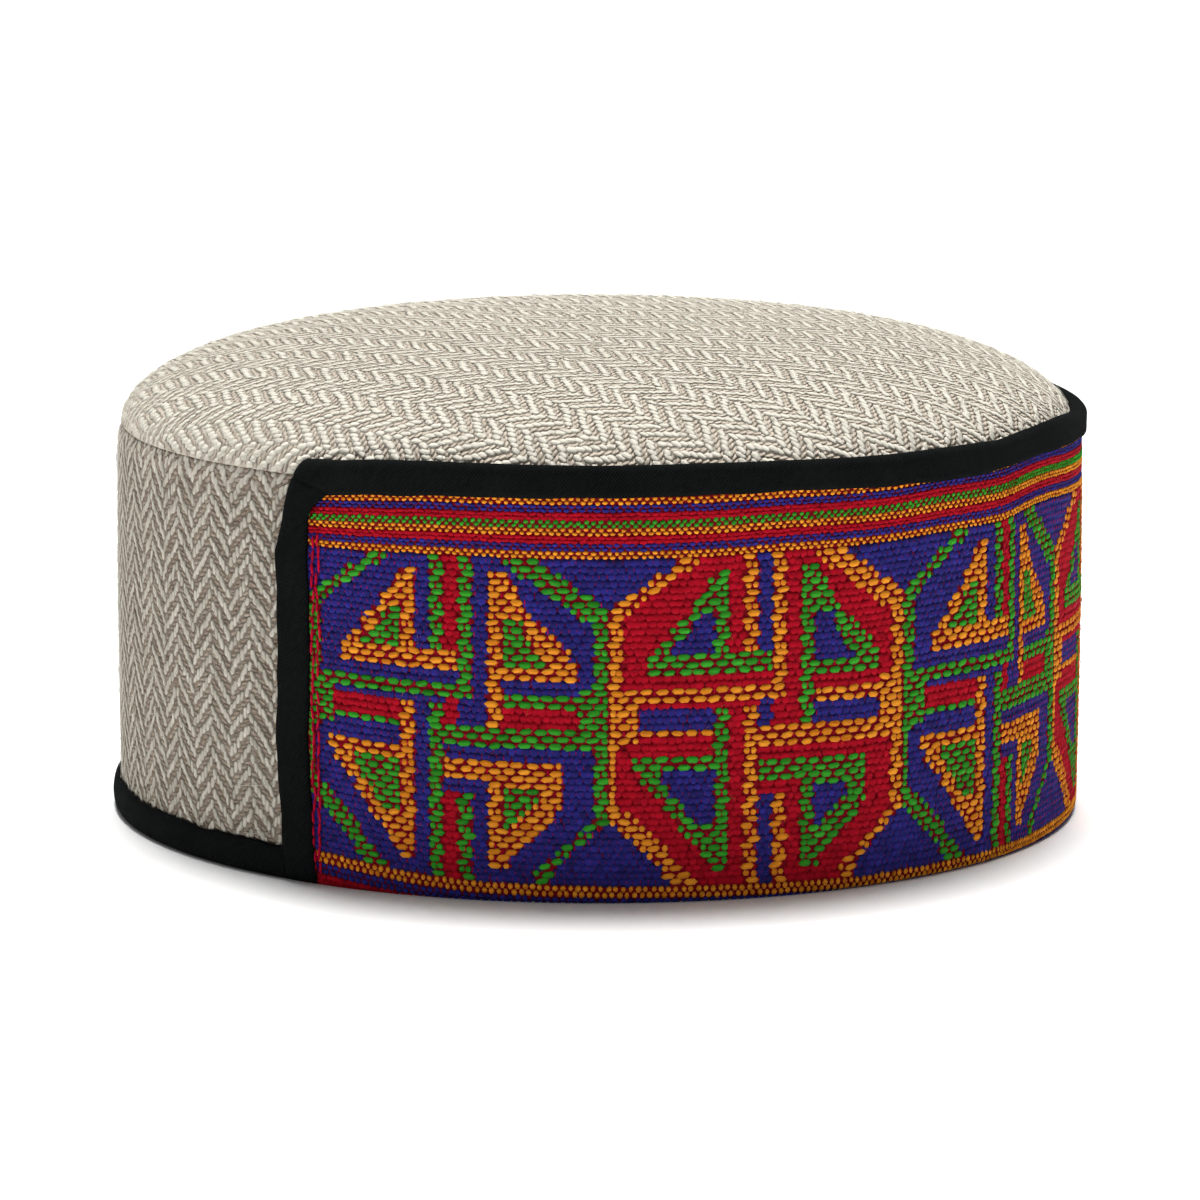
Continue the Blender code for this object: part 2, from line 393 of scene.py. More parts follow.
def joined_mesh(name, points, faces, yarn_place, tone, material):
    """One piece from many copies of a small shape: points is (copies, points of one, 3)."""
    copies, count = points.shape[:2]
    corners = (faces[None] + count * np.arange(copies, dtype=np.int32)[:, None, None]).reshape(-1)
    mesh = bpy.data.meshes.new(name)
    mesh.vertices.add(copies * count)
    mesh.vertices.foreach_set("co", points.reshape(-1).astype(np.float32))
    mesh.loops.add(len(corners))
    mesh.loops.foreach_set("vertex_index", corners)
    mesh.polygons.add(len(corners) // 3)
    mesh.polygons.foreach_set("loop_start", np.arange(0, len(corners), 3, dtype=np.int32))
    layer = mesh.uv_layers.new(name="yarn")
    layer.uv.foreach_set("vector", yarn_place.reshape(-1, 2)[corners].astype(np.float32).ravel())
    shade = mesh.attributes.new("tone", "FLOAT", "POINT")
    shade.data.foreach_set("value", np.repeat(tone, count).astype(np.float32))
    mesh.update(calc_edges=True)
    mesh.shade_smooth()
    mesh.materials.append(material)
    piece = bpy.data.objects.new(name, mesh)
    bpy.context.scene.collection.objects.link(piece)
    return piece


def yarn_floats(name, lots, grain, place, material):
    """Floats of one yarn as one piece.

    lots holds one array for each batch, with the columns across, up, angle, length, width,
    height, lift and tone. Sizes are whole sizes, and the angle turns a float from across to up.
    """
    shape, faces = grain
    across, up, angle, length, width, height, lift, tone = np.concatenate(lots).T[:, :, None]
    along, side, rise = shape.T[:, None, :]
    run = along * length / 2
    off = side * width / 2
    p = across + run * np.cos(angle) - off * np.sin(angle)
    q = up + run * np.sin(angle) + off * np.cos(angle)
    points = place(p, q, lift + rise * height / 2)
    fresh = draw.uniform(0, 400, (len(across), 1, 2))
    yarn_place = np.stack(np.broadcast_arrays(run, off), axis=-1) / MM + fresh
    return joined_mesh(name, points, faces, yarn_place, tone[:, 0], material)


def batch(across, up, angle, length, width, height, lift, tone):
    """Columns for yarn_floats. Single numbers are repeated."""
    columns = np.broadcast_arrays(*np.atleast_1d(across, up, angle, length, width, height, lift, tone))
    return np.stack([c.ravel() for c in columns], axis=1).astype(float)


def hairs(name, needle, place, roots, length, thickness, lift, material, tone=0.6, headings=(0, FULL_TURN), curl=1.3):
    """Loose fibres that stand a little off the cloth, each from its root (across, up)."""
    shape, faces = needle
    count = len(roots)
    share, side, rise = shape.T[:, None, :]
    heading = draw.uniform(*headings, (count, 1))
    bend = draw.normal(0, curl, (count, 1))
    long = length * draw.uniform(0.4, 1.0, (count, 1))
    turn = heading + bend * share
    thin = thickness / 2
    p = roots[:, :1] + long * share * np.cos(turn) - side * thin * np.sin(turn)
    q = roots[:, 1:] + long * share * np.sin(turn) + side * thin * np.cos(turn)
    height = lift * draw.uniform(0.3, 1.0, (count, 1))
    out = height * np.sin(np.pi * share * draw.uniform(0.5, 0.95, (count, 1))) + rise * thin
    points = place(p, q, 0.15 * MM + out)
    yarn_place = np.stack(np.broadcast_arrays(share * 3, side + heading), axis=-1)
    return joined_mesh(name, points, faces, yarn_place, np.full(count, tone), material)


# Herringbone

def runs(mask):
    """(row, first, length) of each unbroken run of True along the rows of a table."""
    padded = np.pad(mask, ((0, 0), (1, 1)))
    change = np.diff(padded.astype(np.int8), axis=1)
    row, first = np.nonzero(change == 1)
    end = np.nonzero(change == -1)[1]
    return row, first, end - first


def herringbone(ends, picks):
    """Where the cream ends lie on top, as (end, pick). The twill turns back every stripe."""
    end = np.arange(ends)[:, None]
    pick = np.arange(picks)[None, :]
    stripe, step = end // ENDS_A_STRIPE, end % ENDS_A_STRIPE
    turn = np.where(stripe % 2 == 0, step, -step - 1)
    return (pick + turn) % 4 < 2, np.where(stripe % 2 == 0, 1, -1)[:, 0]


def wool_floats(name, low, high, inside, place, grains, materials, full):
    """Cream ends and brown picks of herringbone wool over a stretch of flat cloth.

    full is a cream float's width as a share of the room that an end has.
    """
    ends = round((high[0] - low[0]) / END_PITCH)
    picks = round((high[1] - low[1]) / PICK_PITCH)
    cream_up, slant = herringbone(ends, picks)

    def spots(column, row):
        wander = 0.22 * MM * np.sin(row * 0.19 + column * 0.07) + 0.1 * MM * np.sin(row * 0.53 + column * 0.31)
        return low[0] + (column + 0.5) * END_PITCH + wander, low[1] + (row + 0.5) * PICK_PITCH

    end, first, length = runs(cream_up)
    across, up = spots(end, first + (length - 1) / 2)
    keep = inside(across, up)
    end, length, across, up = end[keep], length[keep], across[keep], up[keep]
    count = len(end)
    lean = math.pi / 2 + slant[end] * math.radians(14) + draw.normal(0, 0.15, count)
    cream = batch(
        across + draw.normal(0, 0.11 * MM, count), up + draw.normal(0, 0.16 * MM, count), lean,
        (length + 0.55) * PICK_PITCH * draw.uniform(0.84, 1.12, count),
        full * END_PITCH * draw.uniform(0.86, 1.18, count), 0.27 * MM * draw.uniform(0.8, 1.15, count), 0.08 * MM,
        draw.normal(0.5, 0.14, count),
    )
    pick, first, length = runs(~cream_up.T)
    across, up = spots(first + (length - 1) / 2, pick)
    keep = inside(across, up)
    length, across, up = length[keep], across[keep], up[keep]
    middle = first[keep] + length / 2
    count = len(length)
    lean = -slant[np.clip(middle.astype(int), 0, ends - 1)] * math.radians(20) + draw.normal(0, 0.12, count)
    brown = batch(
        across, up + draw.normal(0, 0.06 * MM, count), lean,
        (length + 0.4) * END_PITCH, 1.2 * PICK_PITCH * draw.uniform(0.85, 1.1, count), 0.28 * MM, 0.0,
        draw.normal(0.5, 0.17, count),
    )
    return [
        yarn_floats(name + "_cream_ends", [cream], grains[0], place, materials[0]),
        yarn_floats(name + "_brown_picks", [brown], grains[1], place, materials[1]),
    ]


# The band's chart, in half stitches from a medallion's middle
# role, left, right, foot, top
BARS = (
    ("outline", -3.0, -1.0, 8.5, 20.0),
    ("core", -1.0, 1.0, 8.5, 20.0),
    ("outline", 1.0, 3.0, 2.5, 20.0),
    ("core", -16.5, -7.0, -1.0, 1.8),
    ("outline", -19.0, -7.0, -1.9, -1.0),
    ("outline", -19.5, -16.5, -2.5, 4.5),
    ("outline", -18.0, 3.0, 2.5, 4.1),
    ("outline", 7.0, 16.0, 1.7, 3.2),
    ("core", 7.0, 16.0, -1.0, 1.7),
    ("outline", 16.0, 20.0, -3.5, 4.0),
    ("outline", -3.0, 20.0, -3.6, -1.0),
    ("core", -1.0, 1.0, -20.0, -9.0),
    ("outline", 1.0, 3.0, -20.0, -9.0),
    ("outline", -3.0, -1.0, -20.0, 2.0),
    ("core", -1.0, 1.0, -1.0, 2.2),
)
# The four hooks, each a frame with a heart in it
HOOKS = (
    ("hook", ((-14.8, 6.0), (0.5, 6.0), (0.5, 8.5), (-4.3, 8.5), (-4.3, 18.0), (-6.4, 18.0), (-14.8, 8.0))),
    ("heart", ((-12.0, 8.7), (-6.5, 8.7), (-6.5, 13.5), (-8.0, 13.5))),
    ("hook", ((4.6, -1.0), (7.0, -1.0), (7.0, 4.7), (16.6, 4.7), (16.6, 6.5), (13.4, 10.5), (10.1, 13.3), (7.4, 18.3),
              (4.6, 18.3))),
    ("heart", ((7.0, 7.0), (12.0, 7.0), (9.3, 11.0), (9.0, 12.6), (7.0, 12.6))),
    ("hook", ((-1.0, -5.0), (14.2, -5.0), (14.2, -10.8), (7.0, -18.2), (4.3, -18.2), (4.3, -7.7), (-1.0, -7.7))),
    ("heart", ((6.4, -8.0), (12.2, -8.0), (11.0, -10.0), (7.2, -13.5), (6.4, -13.5))),
    ("hook", ((-7.0, 2.0), (-4.5, 2.0), (-4.5, -18.5), (-6.2, -18.5), (-17.2, -5.6), (-17.2, -4.1), (-7.0, -4.1))),
    ("heart", ((-13.8, -5.9), (-7.0, -5.9), (-7.0, -12.4), (-9.6, -12.4))),
)
# The yarn of each role, in the medallions that alternate along the band
YARNS = (
    {"ground": "blue", "outline": "green", "core": "red", "hook": "orange", "heart": "green"},
    {"ground": "red", "outline": "orange", "core": "blue", "hook": "green", "heart": "blue"},
)
ROLES = ("ground", "outline", "core", "hook", "heart", "corner")
COLOURS = ("red", "blue", "green", "orange")
# How each yarn's floats lie: length and width as shares of the stitch, height and lift in millimetres
STITCHES = (
    ("red", 1.16, 1.6, 0.16, 0.1),
    ("blue", 1.16, 1.56, 0.16, 0.1),
    ("green", 0.96, 1.14, 0.38, 0.18),
    ("orange", 0.95, 1.12, 0.4, 0.18),
)
# In a bar one stitch wide the floats step from side to side, and every third one is tied in its middle
ALONE_SWAY = (-0.55 * MM, 0.0, 0.45 * MM)
RIM_WIDTH = 1.9
BROAD_RIM, NARROW_RIM = 3.4, 1.9
# The borders' rows, downwards: each is one row of dots
TOP_BORDER = (
    "orange", "orange", "blue", "blue", "red", "red", "green", "green",
    "orange", "orange", "red", "red", "blue", "blue", "orange", "orange",
)
TOP_BORDER_HEIGHTS = (74.8 * MM, 64.15 * MM)
FOOT_BORDER = ("orange", "orange", "blue", "blue", "red", "red", "red", "red")
FOOT_BORDER_HEIGHTS = (2.8 * MM, -4.9 * MM)


def in_outline(u, v, points):
    """Which of the places (u, v) lie inside a closed outline."""
    inside = np.zeros(np.shape(u), bool)
    for (x1, y1), (x2, y2) in zip(points, points[1:] + points[:1]):
        if y1 == y2:
            continue
        crossing = (y1 > v) != (y2 > v)
        inside ^= crossing & (u < (x2 - x1) * (v - y1) / (y2 - y1) + x1)
    return inside


def past_corner(u, v):
    """How far a place lies past the slanting edges that cut a medallion's corners."""
    return np.maximum(v + 0.67 * np.abs(u) - 27.3, 0.95 * np.abs(u) - v - 31.0)


def chart(across, up):
    """The yarn, as an index in COLOURS, at each place on the band's field."""
    number = np.round(across / MEDALLION)
    u = across / UNIT - 40 * number
    v = (up - (FIELD_TOP + FIELD_FOOT) / 2) / UNIT_UP
    role = np.zeros(np.shape(u), int)
    past = past_corner(u, v)
    side = np.where((u < 0) & (v < -3), 1.0, RIM_WIDTH)
    rim = np.where(u * v > 0, BROAD_RIM, NARROW_RIM)
    role[(np.abs(u) > 20 - side) & (np.abs(v) < 15)] = ROLES.index("outline")
    role[past > -rim] = ROLES.index("outline")
    for name, left, right, foot, top in BARS:
        role[(u > left) & (u < right) & (v > foot) & (v < top)] = ROLES.index(name)
    for name, points in HOOKS:
        role[in_outline(u, v, points)] = ROLES.index(name)
    role[past > 0] = ROLES.index("corner")
    found = np.zeros(np.shape(u), int)
    for kind, yarns in enumerate(YARNS):
        table = np.array([COLOURS.index(yarns.get(name, "blue")) for name in ROLES])
        mine = number % 2 == kind
        found[mine] = table[role[mine]]
    return found


def field_row(number):
    """The floats of one row of the field, as arrays (yarn, middle, half stitches).

    Red and blue are tied at every half stitch. Ties lie like bricks from row to row.
    """
    up = FIELD_TOP - (number + 0.5) * ROW_PITCH
    half = STITCH_PITCH / 2
    count = int(2 * (BAND_HALF_LENGTH - 3 * MM) / half)
    across = (np.arange(count) - (count - 1) / 2) * half
    yarn = chart(across, np.full(count, up))
    change = np.flatnonzero(np.diff(yarn)) + 1
    edges = np.concatenate([[0], change, [count]])
    run_start = np.repeat(edges[:-1], np.diff(edges))
    run_length = np.repeat(np.diff(edges), np.diff(edges))
    close = yarn < 2
    narrow = (run_length == 2) & ~close
    tie = close | np.where(narrow, number % 3 == 1, np.arange(count) % 2 == number % 2)
    starts = np.flatnonzero(tie | (np.arange(count) == run_start))
    length = np.diff(np.append(starts, count))
    stagger = np.where(close, (number % 2 - 0.5) * half / 2, narrow * ALONE_SWAY[number % 3])[starts]
    middle = across[starts] + (length - 1) * half / 2 + stagger
    return yarn[starts], middle, length


def pull(across, up, index):
    """How far a stitch leans along a slanting edge of its own colour: more where the edge rises."""
    aside, above = STITCH_PITCH / 2, ROW_PITCH
    rising = (chart(across + aside, up + above) == index) + 1 * (chart(across - aside, up - above) == index)
    falling = (chart(across + aside, up - above) == index) + 1 * (chart(across - aside, up + above) == index)
    return 0.08 * rising - 0.03 * falling


def spread(across, up, index):
    """How far a row at the edge of its bar is pushed out by the row beside it."""
    below = chart(across, up - ROW_PITCH) == index
    above = chart(across, up + ROW_PITCH) == index
    return 0.12 * MM * (below * 1.0 - above)


def band_floats(lots):
    """Adds the field's floats to lots, and the red warp that shows between them."""
    rows = [field_row(number) for number in range(FIELD_ROWS)]
    up = np.concatenate([np.full(len(row[0]), FIELD_TOP - (j + 0.5) * ROW_PITCH) for j, row in enumerate(rows)])
    yarn, across, halves = (np.concatenate(column) for column in zip(*rows))
    for name, long, wide, high, lift in STITCHES:
        index = COLOURS.index(name)
        mine = yarn == index
        x, z = across[mine], up[mine]
        n = len(x)
        lots[name].append(batch(
            x + draw.normal(0, 0.12 * MM, n), z + spread(x, z, index) + draw.normal(0, 0.07 * MM, n),
            pull(x, z, index) + draw.normal(0, 0.1, n),
            (halves[mine] / 2 - 1 + long) * STITCH_PITCH * draw.uniform(0.9, 1.1, n),
            wide * ROW_PITCH * draw.uniform(0.84, 1.12, n),
            high * MM * draw.uniform(0.8, 1.12, n), lift * MM, draw.normal(0.5, 0.12, n),
        ))
    ties = across + halves * STITCH_PITCH / 4
    shown = yarn != COLOURS.index("red")
    fine = (yarn == COLOURS.index("blue"))[shown]
    n = np.count_nonzero(shown)
    lots["warp"].append(batch(
        ties[shown] + draw.normal(0, 0.08 * MM, n), up[shown] + draw.normal(0, 0.06 * MM, n),
        math.pi / 2 + draw.normal(0, 0.12, n), ROW_PITCH * np.where(fine, 0.6, 1.2) * draw.uniform(0.7, 1.1, n),
        np.where(fine, 0.26, 0.46) * MM, 0.6 * MM, np.where(fine, 0.02, 0.06) * MM, draw.normal(0.5, 0.2, n),
    ))


def border_floats(lots, colours, heights):
    """Adds rows of small dots, each row one yarn, two dots to a stitch."""
    pitch = STITCH_PITCH / 2
    reach = BAND_HALF_LENGTH - 3.5 * MM
    count = int(2 * reach / pitch)
    step = abs(heights[0] - heights[1]) / (len(colours) - 1)
    for j, (name, up) in enumerate(zip(colours, np.linspace(*heights, len(colours)))):
        across = (np.arange(count) - (count - 1) / 2 + 0.5 * (j % 2)) * pitch
        lean = math.radians(34) if name == "green" else 0.0
        long = {"red": 1.8, "blue": 1.3}.get(name, 1.0) * MM
        wide = 1.5 * step if name == "red" else 1.12 * step
        high = 0.4 * MM if name in ("orange", "green") else 0.24 * MM
        # Painted light and shade: the orange, green and blue dots take a lighter tone than the field's floats, to
        # make up for the shade of their small relief, and the red dots take a darker tone, to damp their highlights.
        lots[name].append(batch(
            across + draw.normal(0, 0.07 * MM, count), up + draw.normal(0, 0.05 * MM, count),
            lean + draw.normal(0, 0.16, count), long * draw.uniform(0.82, 1.15, count),
            wide * draw.uniform(0.84, 1.1, count), high, 0.12 * MM, draw.normal(0.42 if name == "red" else 0.64, 0.14, count),
        ))


def selvedge_floats(lots):
    """Adds the close red warp at each end of the band, beside its tape."""
    for side in (-1, 1):
        for column in (0.9, 2.1):
            up = np.arange(-1.0 * MM, 66 * MM, 2.6 * MM) + column * 0.6 * MM
            up = up[draw.random(len(up)) < 0.9]
            n = len(up)
            across = side * (END_TAPE_INSIDE - column * MM) + 0.18 * MM * np.sin(up / MM * 0.5 + column)
            lots["warp"].append(batch(
                across + draw.normal(0, 0.09 * MM, n), up, math.pi / 2 + draw.normal(0, 0.09, n),
                3.5 * MM * draw.uniform(0.8, 1.1, n), 0.6 * MM, 0.6 * MM, 0.5 * MM, draw.normal(0.8, 0.15, n),
            ))


# Tapes

def top_tape(material):
    """The tape rolled over the band's free top edge: full outside, with a round top."""
    inner = WALL_RADIUS + 0.3 * MM - 1.3 * MM
    middle = (TAPE_RADIUS + inner) / 2
    half = (TAPE_RADIUS - inner) / 2
    top = arc((middle, TAPE_TOP - half), half, 180, 0, 16)
    outer = [(TAPE_RADIUS, z) for z in np.linspace(TAPE_TOP - half - 0.4 * MM, TAPE_FOOT + 0.8 * MM, 6)]
    foot = arc((TAPE_RADIUS - 0.8 * MM, TAPE_FOOT + 0.8 * MM), 0.8 * MM, 0, -80, 5)
    section = Section([(inner, TAPE_TOP - half - 0.8 * MM)] + top + outer + foot)
    reach = BAND_HALF_ANGLE - 9.5 * MM / BAND_RADIUS

    def place(u, v):
        angle = (u * 2 - 1) * reach
        down = (1 - v) * section.length
        lower = np.clip(down / section.length * 2 - 1, 0, 1)
        ripple = 0.12 * MM * np.sin(angle * 37) * np.sin(angle * 9 + 1) * lower
        points = section.place(angle, down, ripple)
        high = np.clip((points[:, 2] - TAPE_FOOT) / (TAPE_TOP - TAPE_FOOT), 0, 1)
        across = angle * BAND_RADIUS
        points[:, 2] += ease(across, 1) * high + ease(across, 2) * (1 - high)
        return points
    size = (2 * reach * BAND_RADIUS, section.length)
    return cloth_sheet("band_top_tape", 240, 22, place, size, 0.6 * MM, material), size


def end_tape(name, side, material):
    """The upright tape over one end of the band, from under the rim up to the folded corner."""
    edge = BAND_HALF_LENGTH + 0.1 * MM
    left, right = (-edge, -END_TAPE_INSIDE) if side < 0 else (END_TAPE_INSIDE, edge)
    top = TAPE_FOOT - 5.2 * MM

    def place(u, v):
        across = left + u * (right - left)
        up = -2.2 * MM + v * (top + 2.2 * MM)
        full = np.clip(1 - np.abs(2 * u - 1) ** 6, 0, 1) ** 0.5
        outer = u if side > 0 else 1 - u
        out = (1.0 * full + 0.3) * MM - 1.5 * MM * (1 - full) * (outer > 0.5)
        out = out + 0.08 * MM * np.sin(up / MM * 0.33 + side) * full
        out = out * (0.1 + 0.9 * np.clip(up / (2.5 * MM), 0, 1))
        foot = np.clip(1 - up / (26 * MM), 0, 1)
        head = np.clip((up - 62 * MM) / (8 * MM), 0, 1)
        inward = (1.1 * foot + 2.4 * head * outer) * MM
        sway = 0.25 * MM * np.sin(up / MM * 0.16 + 0.8) + 0.1 * MM * np.sin(up / MM * 0.6)
        return band_section.place((across - side * inward + sway) / BAND_RADIUS, BAND_TOP - up, out)
    size = (right - left, top + 2.2 * MM)
    return cloth_sheet(name, 22, 90, place, size, 0.5 * MM, material), size


# The top tape's end, folded down over the end tape: lengths from the band's end and heights
# share, outer length, outer height, inner length, inner height
CORNER_EDGES = (
    (0.0, 0.8, 63.7, 8.4, 68.7),
    (0.2, 1.4, 67.3, 8.9, 70.2),
    (0.4, 1.9, 70.7, 9.9, 71.7),
    (0.6, 2.7, 73.9, 12.2, 73.4),
    (0.8, 3.9, 76.7, 13.2, 76.4),
    (1.0, 5.2, 79.2, 14.2, 80.0),
)


def folded_corner(name, side, material):
    """The top tape's end, turned down at the corner with a crease across it."""
    edges = np.array(CORNER_EDGES)
    edges[:, 1:] *= MM

    def place(u, v):
        outer = u if side > 0 else 1 - u
        length = np.interp(v, edges[:, 0], edges[:, 3]) * (1 - outer) + np.interp(v, edges[:, 0], edges[:, 1]) * outer
        up = np.interp(v, edges[:, 0], edges[:, 4]) * (1 - outer) + np.interp(v, edges[:, 0], edges[:, 2]) * outer
        full = np.clip(1 - outer ** 7, 0, 1) ** 0.5
        round_top = np.clip(1 - v ** 9, 0, 1) ** 0.5
        crease = 0.4 * MM * np.exp(-((up - 75.0 * MM + 0.25 * (length - 9 * MM)) / (0.35 * MM)) ** 2)
        crease = crease * np.clip(2.4 * outer, 0, 1)
        out = 1.9 * MM * full * round_top - 0.9 * MM * (1 - full) - 1.8 * MM * (1 - round_top) - crease
        out = out - 0.85 * MM * (1 - outer) ** 3 * np.clip(4 * v - 1.6, 0, 1)
        angle = side * (BAND_HALF_LENGTH - length) / BAND_RADIUS
        return band_section.place(angle, BAND_TOP - up, out)
    return cloth_sheet(name, 36, 52, place, (9 * MM, 13 * MM), 0.5 * MM, material)


def rear_tape(material):
    """The tape folded over the rim behind the band, its ends tucked under the end tapes."""
    start = BAND_HALF_ANGLE - 2.0 * MM / BAND_RADIUS
    sweep = FULL_TURN - 2 * start

    def place(u, v):
        angle = start + u * sweep
        down = (1 - v) * rear_section.length
        edge = np.exp(-down / (1.0 * MM))
        wave = (0.3 * np.sin(angle * 23) + 0.22 * np.sin(angle * 61 + 1)) * MM * edge
        swell = 0.55 * MM * np.sin(np.pi * np.clip(down / (6.4 * MM), 0, 1)) ** 0.6
        return rear_section.place(angle, down + wave, swell - 0.7 * MM * edge)
    size = (sweep * WALL_RADIUS, rear_section.length)
    return cloth_sheet("rear_rim_tape", 200, 26, place, size, 0.6 * MM, material), size


# Stage, light and camera

AZIMUTH = math.radians(-54.0)
CAMERA_DISTANCE = 1111.6 * MM
CAMERA_HEIGHT = 237.9 * MM
CAMERA_SIDE = 0.76 * MM
CAMERA_DIP = 0.1767
CAMERA_ROLL = 0.0021
CAMERA_LENS = 171.5


# A soft patch of light nearly overhead and a little behind the cap, in a dimmer white room
PATCH_TILT = math.radians(15.0)
PATCH_RADIUS = math.radians(13.0)
PATCH_LIGHT = 1.6
ROOM_LIGHT = 0.18


def stage_and_light():
    bpy.ops.object.select_all(action="DESELECT")
    bpy.ops.mesh.primitive_plane_add(size=12.0)
    floor = bpy.context.object
    floor.name = "floor"
    material, tree, shader = new_material("matt_white_paper", 0.9)
    shader.inputs["Base Color"].default_value = colour("ffffff")
    floor.data.materials.append(material)

    world = bpy.data.worlds.new("studio")
    world.use_nodes = True
    tree = world.node_tree
    toward = Vector((math.sin(AZIMUTH), -math.cos(AZIMUTH), 0.0))
    right = Vector((math.cos(AZIMUTH), math.sin(AZIMUTH), 0.0))
    patch = Vector((0, 0, math.cos(PATCH_TILT))) - toward * math.sin(PATCH_TILT)
    heading = add(tree, "ShaderNodeTexCoord").outputs["Generated"]
    towards_patch = add(tree, "ShaderNodeVectorMath", {0: heading, 1: patch}, operation="DOT_PRODUCT")
    glow = add(
        tree, "ShaderNodeMapRange",
        {
            "Value": towards_patch.outputs["Value"],
            "From Min": math.cos(PATCH_RADIUS * 1.25),
            "From Max": math.cos(PATCH_RADIUS * 0.75),
            "To Min": ROOM_LIGHT,
            "To Max": ROOM_LIGHT + PATCH_LIGHT / math.sin(PATCH_RADIUS) ** 2,
        },
        interpolation_type="SMOOTHSTEP",
    )
    tree.links.new(glow.outputs["Result"], tree.nodes["Background"].inputs["Strength"])
    tree.nodes["Background"].inputs["Color"].default_value = (1.0, 1.0, 1.0, 1.0)
    bpy.context.scene.world = world

    light = bpy.data.lights.new("front_left", "AREA")
    light.shape = "DISK"
    light.size = 1.0
    light.energy = 1.5
    lamp = bpy.data.objects.new("front_left", light)
    lamp.location = toward * 1.2 - right + Vector((0, 0, 0.9))
    aim = Vector((0, 0, 0.05)) - lamp.location
    lamp.rotation_euler = aim.to_track_quat("-Z", "Y").to_euler()
    bpy.context.scene.collection.objects.link(lamp)


def camera():
    lens = bpy.data.cameras.new("camera")
    lens.lens = CAMERA_LENS
    lens.sensor_width = 36.0
    lens.clip_start = 0.05
    lens.clip_end = 30.0
    eye = bpy.data.objects.new("camera", lens)
    toward = Vector((math.sin(AZIMUTH), -math.cos(AZIMUTH), 0.0))
    right = Vector((math.cos(AZIMUTH), math.sin(AZIMUTH), 0.0))
    middle = Vector((AXIS[0], AXIS[1], CAMERA_HEIGHT))
    turn = Matrix.Rotation(AZIMUTH, 4, "Z") @ Matrix.Rotation(math.pi / 2 - CAMERA_DIP, 4, "X")
    turn = turn @ Matrix.Rotation(CAMERA_ROLL, 4, "Z")
    eye.matrix_world = Matrix.Translation(middle + toward * CAMERA_DISTANCE + right * CAMERA_SIDE) @ turn
    bpy.context.scene.collection.objects.link(eye)
    bpy.context.scene.camera = eye


# The cap

def wall_piece_inside(across, up):
    """The wall's cloth shows behind the band, from the rear tape up to the seam, and a little under it."""
    angle = across / WALL_RADIUS
    behind = (angle > BAND_HALF_ANGLE - 0.03) & (angle < FULL_TURN - BAND_HALF_ANGLE + 0.03)
    return behind & (up > REAR_TAPE_TOP - 0.8 * MM) & (up < WALL_TOP - 0.3 * MM)


def crown_inside(across, along):
    return np.hypot(across, along) < crown_section.length - 0.2 * MM


